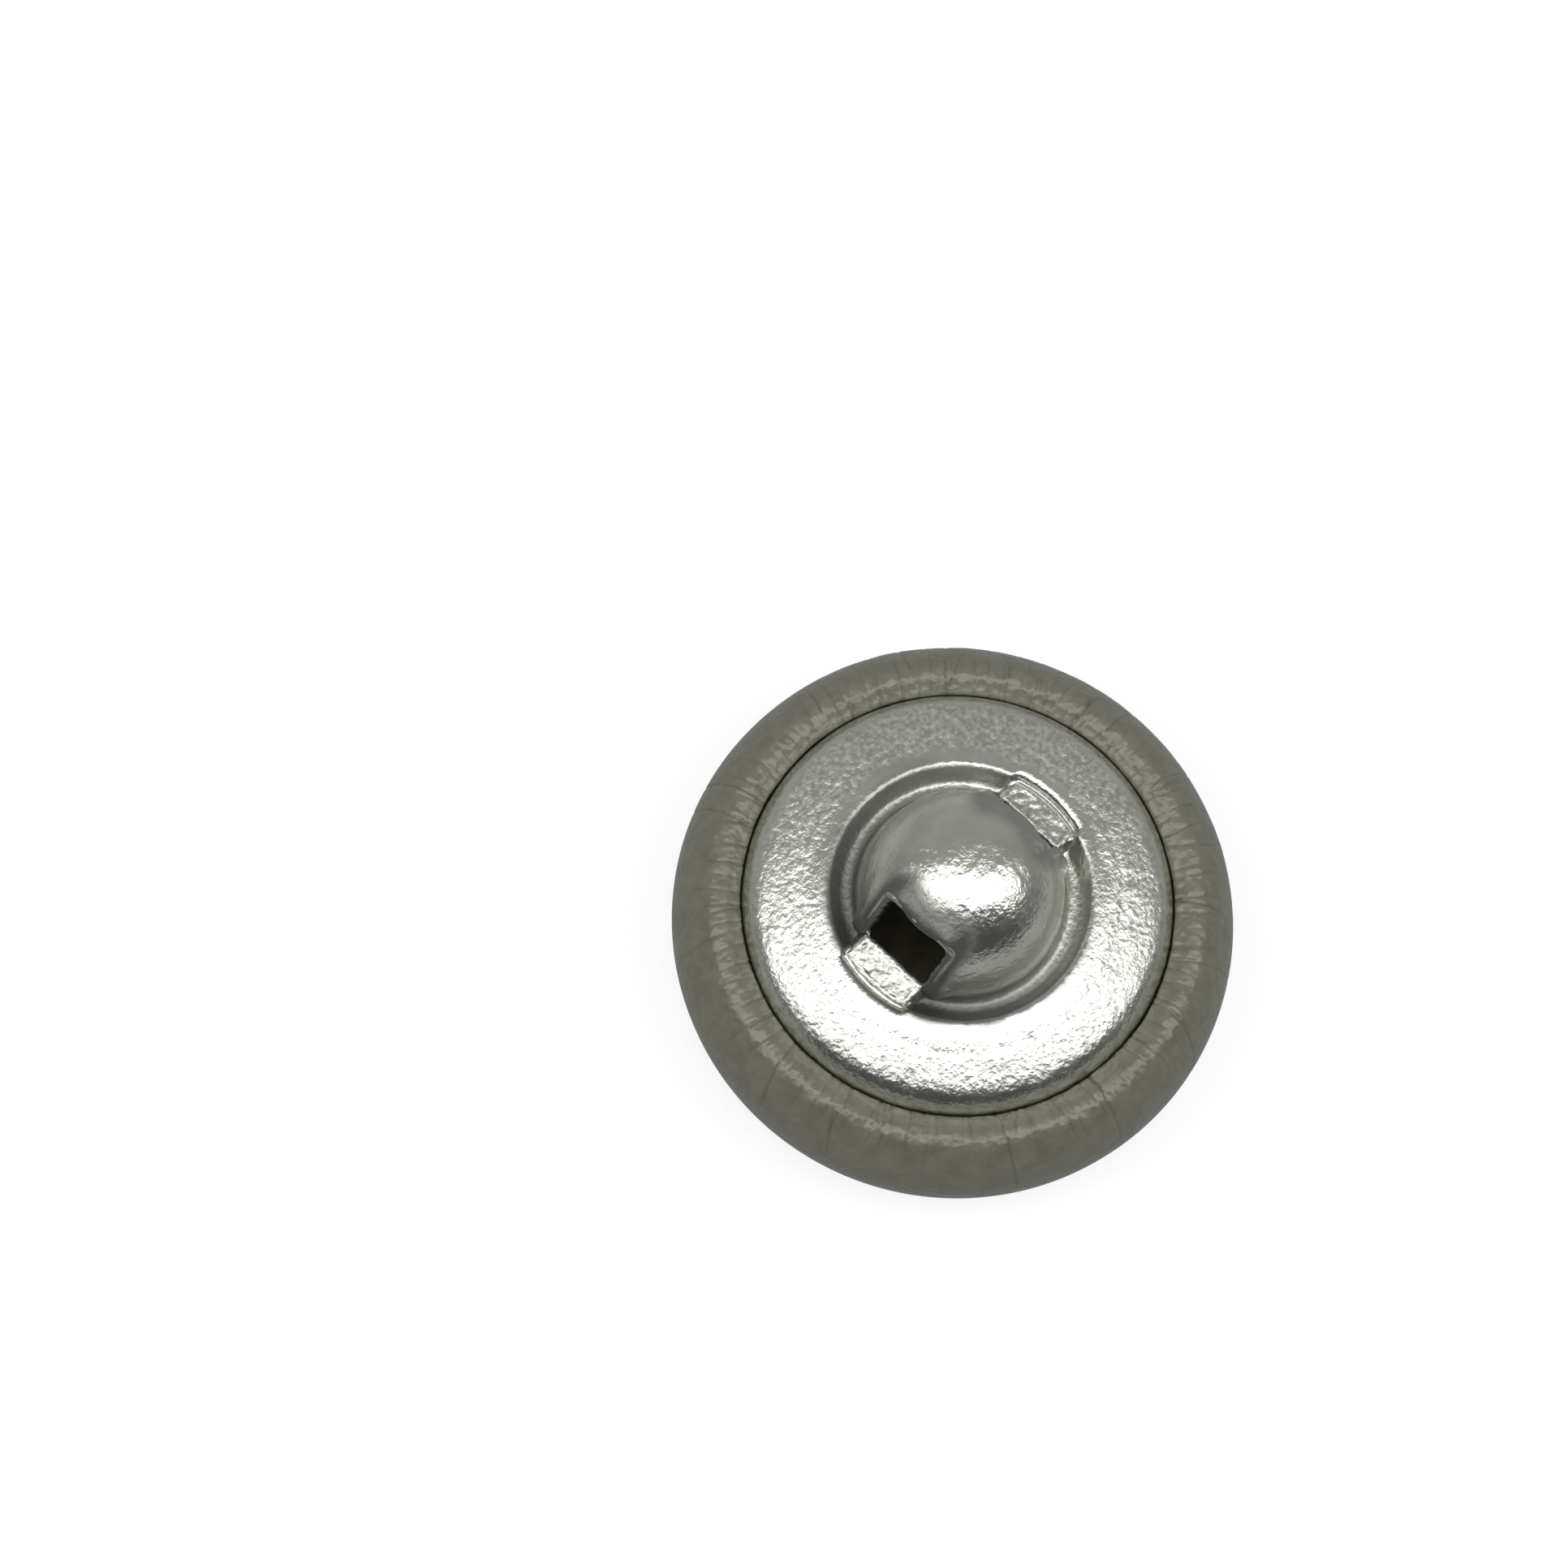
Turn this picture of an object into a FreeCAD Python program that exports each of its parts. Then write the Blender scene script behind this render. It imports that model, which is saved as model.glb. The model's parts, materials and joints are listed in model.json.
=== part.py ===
import FreeCAD, Part
import math
import os

import Sketcher
from FreeCAD import Placement, Rotation, Vector

# Leather shank button, lying on its face with the shank up.
# Three pieces: a leather disc wrapped over a pressed metal cap, and a pressed
# back plate whose middle is raised into a domed bridge that the thread goes under.
# The origin is the middle of the face, +Z runs out of the back, and the thread
# passes through the bridge along X.

TOUCHING = 1e-6

SIZES = {
    # leather: outside form of the covered face and of the rim rolled over the back
    "rim_band": 2.756,
    "face_flat": 2.8,
    "face_curve": 18.0,
    "face_round": 2.4,
    "back_round": 4.1,
    "crown_round": 0.85,
    "leather_wall": 0.75,
    "tail_depth": 2.3,
    # pressed cap inside the leather
    "cap_wall": 0.4,
    "cap_rim_gap": 0.05,
    # back plate: turned-down flange, rounded shoulder and shallow cone
    "cone_band": 3.2,
    "plate_wall": 0.4,
    "seat_gap": 0.03,
    "flange_depth": 1.7,
    "shoulder_rise": 0.05,
    "shoulder_round": 1.5,
    "shoulder_slope": 20.0,
    "cone_curve": 14.0,
    "crest_round": 0.6,
    # moat pressed round the dome
    "moat_depth": 0.65,
    "moat_slope": 55.0,
    "moat_round": 0.3,
    "moat_floor": 0.1,
    # domed bridge
    "dome_radius": 4.22,
    "dome_height": 3.5,
    "dome_draft": 12.0,
    "dome_flat": 0.3,
    # slots sheared through the dome, with a raised lip round each
    "slot_width": 3.2,
    "slot_reach": 1.95,
    "slot_height": 2.5,
    "lip_band": 0.36,
    "lip_proud": 0.14,
    # coined pads that reach over the moat to the slots
    "pad_tuck": 0.42,
    "pad_lap": 0.25,
    "pad_drop": 0.1,
    "pad_side": 0.2,
    # gathers pressed into the side of the rolled rim
    "gather_count": 18,
    "gather_curve": 6.5,
    "gather_width": 0.2,
    "gather_depth": 0.08,
    "gather_angle": 38.0,
}

doc = FreeCAD.newDocument("shank_button")
sheet = doc.addObject("Spreadsheet::Sheet", "Sizes")
for row, (alias, value) in enumerate(SIZES.items(), start=1):
    sheet.set(f"A{row}", alias)
    sheet.set(f"B{row}", str(value))
    sheet.setAlias(f"B{row}", alias)
doc.recompute()
rows_used = [len(SIZES)]


def size(alias):
    return float(getattr(sheet, alias))


def follows(alias, content):
    """Adds a size that follows from the others, as a formula or a worked out number."""
    rows_used[0] += 1
    row = rows_used[0]
    sheet.set(f"A{row}", alias)
    sheet.set(f"B{row}", str(content))
    sheet.setAlias(f"B{row}", alias)
    doc.recompute()


# A half section has the radius as x and the height as y. Its runs are arcs,
# joined by straight lines where they don't meet, and corner points.


def around(centre, radius, degrees):
    angle = math.radians(degrees)
    return (centre[0] + radius * math.cos(angle), centre[1] + radius * math.sin(angle))


class Arc:
    """An arc of a skin, from one angle to another; bulge is -1 where the skin is hollow."""

    def __init__(self, centre, alias, first, last, bulge=1, layers=()):
        self.centre = centre
        self.alias = alias
        self.first = first
        self.last = last
        self.bulge = bulge
        self.layers = layers

    def under(self, wall):
        """The same arc on the skin that lies one wall deeper."""
        layers = (*self.layers, (-self.bulge, wall))
        return Arc(self.centre, self.alias, self.first, self.last, self.bulge, layers)

    def over(self, wall):
        """The same arc on a skin that stands one wall proud."""
        layers = (*self.layers, (self.bulge, wall))
        return Arc(self.centre, self.alias, self.first, self.last, self.bulge, layers)

    def backwards(self):
        return Arc(self.centre, self.alias, self.last, self.first, self.bulge, self.layers)

    def radius(self):
        return size(self.alias) + sum(sign * size(wall) for sign, wall in self.layers)

    def formula(self):
        layers = "".join(f" {'+' if sign > 0 else '-'} Sizes.{wall}" for sign, wall in self.layers)
        return f"Sizes.{self.alias}{layers}"

    def start(self):
        return around(self.centre, self.radius(), self.first)

    def end(self):
        return around(self.centre, self.radius(), self.last)


class Corner:
    def __init__(self, x, y):
        self.point = (x, y)

    def backwards(self):
        return self

    def start(self):
        return self.point

    def end(self):
        return self.point


def returning(runs):
    return [run.backwards() for run in reversed(runs)]


def under(runs, wall):
    return [run.under(wall) for run in runs]


def revolved(name, runs):
    """A body turned about Z from a closed half section, with its radii tied to the sheet."""
    body = doc.addObject("PartDesign::Body", name)
    sketch = body.newObject("Sketcher::SketchObject", f"{name}_section")
    sketch.AttachmentSupport = [(origin_feature(body, "XZ_Plane"), "")]
    sketch.MapMode = "FlatFace"
    pieces = []
    for run, following in zip(runs, runs[1:] + runs[:1]):
        if isinstance(run, Arc):
            low, high = sorted((run.first, run.last))
            circle = Part.Circle(Vector(*run.centre, 0), Vector(0, 0, 1), run.radius())
            arc = Part.ArcOfCircle(circle, math.radians(low), math.radians(high))
            number = sketch.addGeometry(arc)
            pieces.append((number, 1, 2) if run.last > run.first else (number, 2, 1))
            tie = sketch.addConstraint(Sketcher.Constraint("Radius", number, run.radius()))
            sketch.setExpression(f"Constraints[{tie}]", run.formula())
        if math.dist(run.end(), following.start()) > TOUCHING:
            ends = (Vector(*run.end(), 0), Vector(*following.start(), 0))
            pieces.append((sketch.addGeometry(Part.LineSegment(*ends)), 1, 2))
    for piece, following in zip(pieces, pieces[1:] + pieces[:1]):
        joint = (piece[0], piece[2], following[0], following[1])
        sketch.addConstraint(Sketcher.Constraint("Coincident", *joint))
    turn = body.newObject("PartDesign::Revolution", f"{name}_turn")
    turn.Profile = sketch
    turn.ReferenceAxis = (sketch, ["V_Axis"])
    turn.Angle = 360
    doc.recompute()
    return body


def origin_feature(body, role):
    return next(part for part in body.Origin.OriginFeatures if part.Role == role)


# Radii are set from the middle outwards: dome, moat, crest, cone, plate and leather.

wall_angle = 90 + size("moat_slope")
wall_normal = around((0, 0), 1, wall_angle)
both_rounds = size("crest_round") + size("moat_round")
foot_x = size("dome_radius") + size("moat_round")
moat_x = foot_x + size("moat_floor")
crest_x = moat_x - (both_rounds - (both_rounds - size("moat_depth")) * wall_normal[1]) / wall_normal[0]
follows("crest_radius", crest_x)
follows("plate_radius", "=crest_radius + cone_band")
follows("cover_radius", "=plate_radius + rim_band")
follows("slot_back", "=dome_radius - slot_reach")
follows("pad_start", "=dome_radius - pad_tuck")
follows("pad_end", "=crest_radius + pad_lap")
follows("pad_width", "=slot_width + 2 * pad_side")

# Leather: flat spot, domed face, rounded shoulder, rolled back rim, and a tail
# that is tucked inside between the cap's rim and the plate's flange.

back_centre_x = size("cover_radius") - size("back_round")
shoulder_centre_x = size("cover_radius") - size("face_round")
face_reach = size("face_curve") - size("face_round")
face_span = shoulder_centre_x - size("face_flat")
equator = size("face_curve") - math.sqrt(face_reach**2 - face_span**2)
face_slope = math.degrees(math.asin(face_span / face_reach))

tail_radius = size("plate_radius") + size("seat_gap")
crown_x = tail_radius + size("crown_round")
crown_reach = size("back_round") - size("crown_round")
crown_z = equator + math.sqrt(crown_reach**2 - (crown_x - back_centre_x) ** 2)
crown_angle = math.degrees(math.atan2(crown_z - equator, crown_x - back_centre_x))
tail_end = crown_z - size("tail_depth")

face_arc = Arc((size("face_flat"), size("face_curve")), "face_curve", -90, face_slope - 90)
shoulder_arc = Arc((shoulder_centre_x, equator), "face_round", face_slope - 90, 0)
back_arc = Arc((back_centre_x, equator), "back_round", 0, crown_angle)
crown_arc = Arc((crown_x, crown_z), "crown_round", crown_angle, 180)
cover_skin = [face_arc, shoulder_arc, back_arc, crown_arc]

leather_section = [
    Corner(0, 0),
    *cover_skin,
    Corner(tail_radius, tail_end),
    Corner(tail_radius + size("leather_wall"), tail_end),
    *returning(under(cover_skin, "leather_wall")),
    Corner(0, size("leather_wall")),
]
leather_cover = revolved("leather_cover", leather_section)

# Cap: it lies against the leather all over, and its rim curls in over the tail.

rim_reach = size("back_round") - size("leather_wall") - size("cap_wall")
rim_inside = tail_radius + size("leather_wall") + size("cap_rim_gap")
rim_angle = math.degrees(math.acos((rim_inside - back_centre_x) / rim_reach))
rim_arc = Arc((back_centre_x, equator), "back_round", 0, rim_angle)
cap_skin = under([face_arc, shoulder_arc, rim_arc], "leather_wall")
cap_section = [
    Corner(0, size("leather_wall")),
    *cap_skin,
    *returning(under(cap_skin, "cap_wall")),
    Corner(0, size("leather_wall") + size("cap_wall")),
]
front_shell = revolved("front_shell", cap_section)

# Back plate: one pressed sheet. From the outside in, its skin is the flange,
# the shoulder, the shallow cone, the crest, the moat and the dome.

plate_shoulder = (size("plate_radius") - size("shoulder_round"), crown_z + size("shoulder_rise"))
cone_angle = 90 - size("shoulder_slope")
cone_centre = around(plate_shoulder, size("shoulder_round") - size("cone_curve"), cone_angle)
crest_reach = size("cone_curve") - size("crest_round")
crest_z = cone_centre[1] + math.sqrt(crest_reach**2 - (crest_x - cone_centre[0]) ** 2)
crest_angle = math.degrees(math.atan2(crest_z - cone_centre[1], crest_x - cone_centre[0]))
crest_top = crest_z + size("crest_round")

moat_floor_z = crest_top - size("moat_depth")
dome_foot = (foot_x, moat_floor_z + size("moat_round"))

# The dome's cap is tangent to its drafted wall.
dome_top = crest_top + size("dome_height")
draft = size("dome_draft")
wall_foot = around(dome_foot, -size("moat_round"), draft)
lean = around((0, 0), 1, draft)
room = (wall_foot[0] - size("dome_flat")) * lean[0] + (wall_foot[1] - dome_top) * lean[1]
follows("dome_curve", room / (1 - lean[1]))
cap_centre = (size("dome_flat"), dome_top - size("dome_curve"))

plate_skin = [
    Arc(plate_shoulder, "shoulder_round", 0, cone_angle),
    Arc(cone_centre, "cone_curve", cone_angle, crest_angle),
    Arc((crest_x, crest_z), "crest_round", crest_angle, wall_angle),
    Arc((moat_x, dome_foot[1]), "moat_round", wall_angle - 180, -90, bulge=-1),
    Arc(dome_foot, "moat_round", -90, draft - 180, bulge=-1),
    Arc(cap_centre, "dome_curve", draft, 90),
]
flange_end = crown_z - size("flange_depth")
plate_section = [
    Corner(size("plate_radius"), flange_end),
    *plate_skin,
    Corner(0, dome_top),
    Corner(0, dome_top - size("plate_wall")),
    *returning(under(plate_skin, "plate_wall")),
    Corner(size("plate_radius") - size("plate_wall"), flange_end),
]
pressed_plate = revolved("pressed_plate", plate_section)


def box(name, x_low, x_high, width, z_low, z_high):
    """A box across the thread axis, with formulas for its x limits and its width."""
    block = doc.addObject("Part::Box", name)
    block.Height = z_high - z_low
    block.Placement.Base = Vector(0, 0, z_low)
    block.setExpression("Length", f"{x_high} - ({x_low})")
    block.setExpression("Width", width)
    block.setExpression("Placement.Base.x", x_low)
    block.setExpression("Placement.Base.y", f"-({width}) / 2")
    return block


def facing(side, near, far):
    """The x limits of something that reaches from near to far on one side."""
    return (near, far) if side > 0 else (f"-({far})", f"-({near})")


def fused(name, shapes):
    result = doc.addObject("Part::MultiFuse", name)
    result.Shapes = shapes
    return result


# Bridge: at each end of the thread axis the dome is sheared open over a coined pad,
# and the edge of the opening stands a little proud of the dome.

pad_top = crest_top - size("pad_drop")
slot_top = pad_top + size("slot_height")
sheet_bottom = moat_floor_z - size("plate_wall")
clear_below = sheet_bottom - size("plate_wall")

dome_cap = plate_skin[-1]
band_foot = around(dome_foot, size("lip_proud") - size("moat_round"), draft)
band_inside = around(dome_foot, -size("moat_round") - size("plate_wall"), draft)
lip_section = [
    Corner(*band_inside),
    Corner(*band_foot),
    dome_cap.over("lip_proud"),
    Corner(0, dome_top + size("lip_proud")),
    Corner(0, dome_top - size("plate_wall")),
    dome_cap.under("plate_wall").backwards(),
]
proud_dome = revolved("proud_dome", lip_section)

frames = []
pads = []
cuts = []
for side, end in ((1, "a"), (-1, "b")):
    frame_limits = facing(side, "Sizes.slot_back - Sizes.lip_band", "Sizes.pad_end")
    frame_width = "Sizes.slot_width + 2 * Sizes.lip_band"
    frames.append(
        box(f"frame_{end}", *frame_limits, frame_width, sheet_bottom, slot_top + size("lip_band"))
    )
    pad_limits = facing(side, "Sizes.pad_start", "Sizes.pad_end")
    pads.append(box(f"pad_{end}", *pad_limits, "Sizes.pad_width", sheet_bottom, pad_top))
    slot_limits = facing(side, "Sizes.slot_back", "Sizes.pad_start")
    cuts.append(box(f"slot_{end}", *slot_limits, "Sizes.slot_width", clear_below, slot_top))
    cuts.append(box(f"mouth_{end}", *pad_limits, "Sizes.slot_width", pad_top, slot_top))
    under_limits = facing(side, "Sizes.slot_back", "Sizes.pad_end - Sizes.plate_wall")
    under_width = "Sizes.pad_width - 2 * Sizes.plate_wall"
    under_top = pad_top - size("plate_wall")
    cuts.append(box(f"under_pad_{end}", *under_limits, under_width, clear_below, under_top))

lips = doc.addObject("Part::Common", "lips")
lips.Base = proud_dome
lips.Tool = fused("lip_frames", frames)

back_plate = doc.addObject("Part::Cut", "back_plate")
back_plate.Base = fused("raised_plate", [pressed_plate, lips, *pads])
back_plate.Tool = fused("sheared_out", cuts)


# Gathers: the flat disc of leather has more edge than the rim can take, so it
# creases all round the rolled side.


GATHER_SPREAD = 24
lift = size("gather_width") / 2 - size("gather_depth")
gather_reach = size("back_round") + lift - size("gather_curve")
gather_middle = around((back_centre_x, equator), gather_reach, size("gather_angle"))
groove = leather_cover.newObject("PartDesign::SubtractiveTorus", "gather")
groove.setExpression("Radius1", "Sizes.gather_curve")
groove.setExpression("Radius2", "Sizes.gather_width / 2")
groove.Angle3 = 2 * GATHER_SPREAD
upright = Rotation(Vector(1, 0, 0), 90) * Rotation(Vector(0, 0, 1), size("gather_angle") - GATHER_SPREAD)
groove.Placement = Placement(Vector(gather_middle[0], 0, gather_middle[1]), upright)
doc.recompute()
ring = leather_cover.newObject("PartDesign::PolarPattern", "gather_ring")
ring.Originals = [groove]
ring.Axis = (origin_feature(leather_cover, "Z_Axis"), [""])
ring.Angle = 360
ring.setExpression("Occurrences", "Sizes.gather_count")
leather_cover.Tip = ring

# Every object has to be sound before anything is written.

doc.recompute()
failed = [part.Name for part in doc.Objects if {"Invalid", "Error"} & set(part.State)]
if failed:
    raise RuntimeError(f"failed objects: {failed}")

os.makedirs("parts", exist_ok=True)
for piece in (leather_cover, front_shell, back_plate):
    piece.Label = piece.Name
    shape = piece.Shape
    if shape.isNull() or not shape.isValid() or len(shape.Solids) != 1:
        raise RuntimeError(f"{piece.Label} isn't one sound solid")
    shape.exportStep(f"parts/{piece.Label}.step")
    print(piece.Label, "volume", round(shape.Volume, 2), "faces", len(shape.Faces))
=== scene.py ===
# %% [markdown]
# A leather covered shank button, lying on its face with the shank up.
#
# The real button is three pressed or cut pieces. A thin metal cap gives the
# face its dome. A disc of thin coated leather is drawn over it, and its edge is
# folded inside. A pressed back plate then snaps in and holds the leather, and
# its middle is raised into a bridge for the thread. The imported model is loaded
# first and stays as it is. The leather and the plate get finer surfaces in the
# same places, and the hidden cap keeps its own mesh.

# %% Load the imported model
import json
import math

import bpy
import numpy as np
from mathutils import Matrix

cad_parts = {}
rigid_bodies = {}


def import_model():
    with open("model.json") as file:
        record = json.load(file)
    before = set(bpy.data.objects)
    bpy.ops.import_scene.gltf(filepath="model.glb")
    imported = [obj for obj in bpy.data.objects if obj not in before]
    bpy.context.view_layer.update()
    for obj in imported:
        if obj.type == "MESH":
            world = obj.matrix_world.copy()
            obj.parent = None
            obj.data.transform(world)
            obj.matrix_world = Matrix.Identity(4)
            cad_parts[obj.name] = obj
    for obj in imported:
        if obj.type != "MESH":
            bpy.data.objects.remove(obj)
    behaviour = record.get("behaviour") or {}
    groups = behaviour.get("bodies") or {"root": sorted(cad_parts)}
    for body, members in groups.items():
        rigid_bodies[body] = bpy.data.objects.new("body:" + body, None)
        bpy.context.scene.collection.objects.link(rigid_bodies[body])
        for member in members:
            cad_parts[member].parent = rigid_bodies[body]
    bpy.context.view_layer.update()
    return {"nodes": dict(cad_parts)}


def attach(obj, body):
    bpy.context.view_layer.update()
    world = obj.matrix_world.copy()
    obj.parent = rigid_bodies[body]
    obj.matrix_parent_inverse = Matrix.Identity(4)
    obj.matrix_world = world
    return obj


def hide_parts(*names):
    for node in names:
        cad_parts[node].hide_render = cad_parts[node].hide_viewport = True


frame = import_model()

# %% [markdown]
# Sizes are written in millimetres, as on a maker's drawing, and turned into
# metres only when a mesh is made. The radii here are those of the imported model.
# They form a chain from the dome outwards: its foot, the moat round it, the
# crest of the cone, the plate's edge and the leather's edge. Later cells add
# finer forms, such as creases and dents, and those sizes are this file's own.

# %% The radii, from the middle outwards
MM = 0.001
DOME_RADIUS = 4.22
MOAT_DEPTH, MOAT_SLOPE, MOAT_ROUND, MOAT_FLOOR = 0.65, 55.0, 0.3, 0.1
CREST_ROUND, CONE_BAND, RIM_BAND = 0.6, 3.2, 2.756

foot_x = DOME_RADIUS + MOAT_ROUND
moat_x = foot_x + MOAT_FLOOR
moat_angle = 90 + MOAT_SLOPE
both_rounds = CREST_ROUND + MOAT_ROUND
moat_rise = (both_rounds - MOAT_DEPTH) * math.sin(math.radians(moat_angle))
crest_x = moat_x - (both_rounds - moat_rise) / math.cos(math.radians(moat_angle))
plate_radius = crest_x + CONE_BAND
cover_radius = plate_radius + RIM_BAND
print("radii: crest", round(crest_x, 2), "plate", round(plate_radius, 2), "cover", round(cover_radius, 2))

# %% [markdown]
# Every round piece here is a half section turned about the middle. A section is
# drawn as arcs and straight runs, each a short array of (radius, height) points.
# One helper walks along an arc, one along a line, and one joins them. Blender's
# Screw modifier could turn the section too, but with arrays every point of the
# result can still be pushed by a formula.

# %% Drawing a half section
def arc(centre, radius, first, last, steps):
    """Points at radius from centre while the angle goes evenly from first to last degrees."""
    angle = np.radians(np.linspace(first, last, steps))
    return np.column_stack((centre[0] + radius * np.cos(angle), centre[1] + radius * np.sin(angle)))


def line(start, end, steps):
    """Points that divide the straight run from start to end into equal parts."""
    share = np.linspace(0, 1, steps)[:, None]
    return np.array(start) * (1 - share) + np.array(end) * share


def joined(*runs):
    """The runs end to end, with each point that repeats its neighbour left out."""
    points = np.vstack(runs)
    step = np.linalg.norm(np.diff(points, axis=0), axis=1)
    return points[np.concatenate(([True], step > 1e-6))]


def outward(section):
    """Unit normals on the right of the way that the section runs: the tangent turned by 90 degrees."""
    tangent = np.gradient(section, axis=0)
    normal = np.column_stack((tangent[:, 1], -tangent[:, 0]))
    return normal / np.linalg.norm(normal, axis=1)[:, None]


def way_along(section):
    """The length walked along the section up to each point."""
    step = np.linalg.norm(np.diff(section, axis=0), axis=1)
    return np.concatenate(([0], np.cumsum(step)))


def turned(section, angles):
    """A grid of (r cos a, r sin a, height), a row for each section point and a column for each angle a."""
    radius, height = section[:, :1], section[:, 1:]
    return np.stack(np.broadcast_arrays(radius * np.cos(angles), radius * np.sin(angles), height), -1)


# %% [markdown]
# A turned surface is a grid, and its faces join each row to the next. Where a
# section starts or ends on the middle line, a whole row would fall on one point,
# so the row stops just short of it and a fan of triangles closes the hole.

# %% Making meshes from grids
def grid_quads(rows, columns, closed):
    """Corner numbers of the faces of a grid; closed joins the last column to the first."""
    row = np.arange(rows - 1)[:, None] * columns
    column = np.arange(columns if closed else columns - 1)[None, :]
    right = (column + 1) % columns
    corners = (row + column, row + right, row + columns + right, row + columns + column)
    return np.stack(corners, -1).reshape(-1, 4)


def fan(pole, ring, turned_over):
    """Triangles from one pole vertex to a ring of vertices."""
    following = np.roll(ring, -1)
    first, second = (following, ring) if turned_over else (ring, following)
    return np.column_stack((np.full(len(ring), pole), first, second))


def piece(name, points, faces):
    """A smooth mesh object from points in millimetres and lists of faces."""
    mesh = bpy.data.meshes.new(name)
    mesh.from_pydata((points * MM).tolist(), [], [face for block in faces for face in block.tolist()])
    mesh.shade_smooth()
    made = bpy.data.objects.new(name, mesh)
    bpy.context.scene.collection.objects.link(made)
    print(name, len(mesh.vertices), "vertices", len(mesh.polygons), "faces")
    return made


def keep_values(made, name, values):
    """Stores one number for each vertex, for the material to read."""
    attribute = made.data.attributes.new(name, "FLOAT", "POINT")
    attribute.data.foreach_set("value", values.astype(np.float32))


# %% [markdown]
# Hammered metal and puckered leather are uneven, but not wild. Lattice noise
# gives that: random numbers sit on the corners of a lattice, and each point
# takes a smooth mix of the eight corners round it. A Displace modifier with a
# clouds texture would look alike, but here each layer can be kept to the part
# of the surface that it belongs to.

# %% Smooth noise, smooth steps and bells
LATTICE = 64
LATTICE_SHIFT = 40


def lattice_noise(points, scale, seed):
    """Random corner values, mixed with the weights 3t^2 - 2t^3 in each direction; from -1 to 1."""
    values = np.random.default_rng(seed).uniform(-1, 1, (LATTICE, LATTICE, LATTICE))
    place = points / scale
    low = np.floor(place).astype(int)
    share = place - low
    share = share * share * (3 - 2 * share)
    total = np.zeros(place.shape[:-1])
    for corner in np.ndindex(2, 2, 2):
        weight = np.prod(np.where(corner, share, 1 - share), axis=-1)
        at = (low + corner) % LATTICE
        total += weight * values[at[..., 0], at[..., 1], at[..., 2]]
    return total


def uneven(points, *layers):
    """The sum of noise layers, each given as its scale, its seed and its height."""
    shifted = points + LATTICE_SHIFT
    return sum(lattice_noise(shifted, scale, seed) * height for scale, seed, height in layers)


def rise(value, start, end):
    """0 before start, 1 after end, and the smooth step 3t^2 - 2t^3 between them."""
    share = np.clip((value - start) / (end - start), 0, 1)
    return share * share * (3 - 2 * share)


def bell(value, middle, width):
    """1 at the middle, falling off on both sides as exp(-(distance / width)^2)."""
    return np.exp(-(((value - middle) / width) ** 2))


# %% [markdown]
# The leather's section starts in the middle of the face, goes round the side
# and over the rolled rim, and dives down beside the plate. It then comes back
# along its inner side, so the disc is a closed body with its real thickness.

# %% Where the leather's arcs lie
FACE_FLAT, FACE_CURVE, FACE_ROUND = 2.8, 18.0, 2.4
BACK_ROUND, CROWN_ROUND = 4.1, 0.85
SEAT_GAP, TAIL_DEPTH, LEATHER_WALL = 0.03, 2.3, 0.75

side_x, back_x = cover_radius - FACE_ROUND, cover_radius - BACK_ROUND
face_reach, face_span = FACE_CURVE - FACE_ROUND, side_x - FACE_FLAT
face_slope = math.degrees(math.asin(face_span / face_reach))
equator = FACE_CURVE - math.sqrt(face_reach**2 - face_span**2)
tail_x = plate_radius + SEAT_GAP
crown_x = tail_x + CROWN_ROUND
crown_z = equator + math.sqrt((BACK_ROUND - CROWN_ROUND) ** 2 - (crown_x - back_x) ** 2)
crown_angle = math.degrees(math.atan2(crown_z - equator, crown_x - back_x))
tail_end = crown_z - TAIL_DEPTH
print("heights: the leather's widest ring", round(equator, 2), "the middle of its crown", round(crown_z, 2))

# %% The leather's half section
MIDDLE_HOLE = 0.3
SKIN_STEPS, LINING_STEPS = (9, 7, 22, 22), (4, 3, 4, 2)


def cover_skin(inset, steps):
    """The four arcs of the leather's skin, moved inwards by inset: face, side, back and crown."""
    return (
        arc((FACE_FLAT, FACE_CURVE), FACE_CURVE - inset, -90, face_slope - 90, steps[0]),
        arc((side_x, equator), FACE_ROUND - inset, face_slope - 90, 0, steps[1]),
        arc((back_x, equator), BACK_ROUND - inset, 0, crown_angle, steps[2]),
        arc((crown_x, crown_z), CROWN_ROUND - inset, crown_angle, 180, steps[3]),
    )


outer_section = joined(
    line((MIDDLE_HOLE, 0), (FACE_FLAT, 0), 3),
    *cover_skin(0, SKIN_STEPS),
    line((tail_x, crown_z), (tail_x, tail_end), 3),
)
inner_section = joined(
    line((tail_x + LEATHER_WALL, tail_end), (tail_x + LEATHER_WALL, crown_z), 3),
    *[run[::-1] for run in reversed(cover_skin(LEATHER_WALL, LINING_STEPS))],
    line((FACE_FLAT, LEATHER_WALL), (MIDDLE_HOLE, LEATHER_WALL), 2),
)
leather_way = way_along(outer_section)
print("leather's outside is", round(MIDDLE_HOLE + leather_way[-1], 2), "mm from the middle to its tail")

# %% [markdown]
# A flat disc has more edge than the rim has room for, so the leather creases.
# Near the gap the creases are short, close and sharp. A few run far down the
# side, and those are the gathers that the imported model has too. Fine hairlines
# lie between them. Cloth simulation could fold a disc like this, but thin
# leather drawn over a cap hardly folds: it only creases. So each crease is a
# narrow groove across the grid with soft ends, and all of them are added up.

# %% Helpers for creases
LEATHER_COLUMNS = 1260
CREASE_STRAY, FADE_IN, FADE_OUT = 0.42, 0.5, 0.35
leather_turn = np.arange(LEATHER_COLUMNS) * 2 * math.pi / LEATHER_COLUMNS
chance = np.random.default_rng(7)


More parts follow.
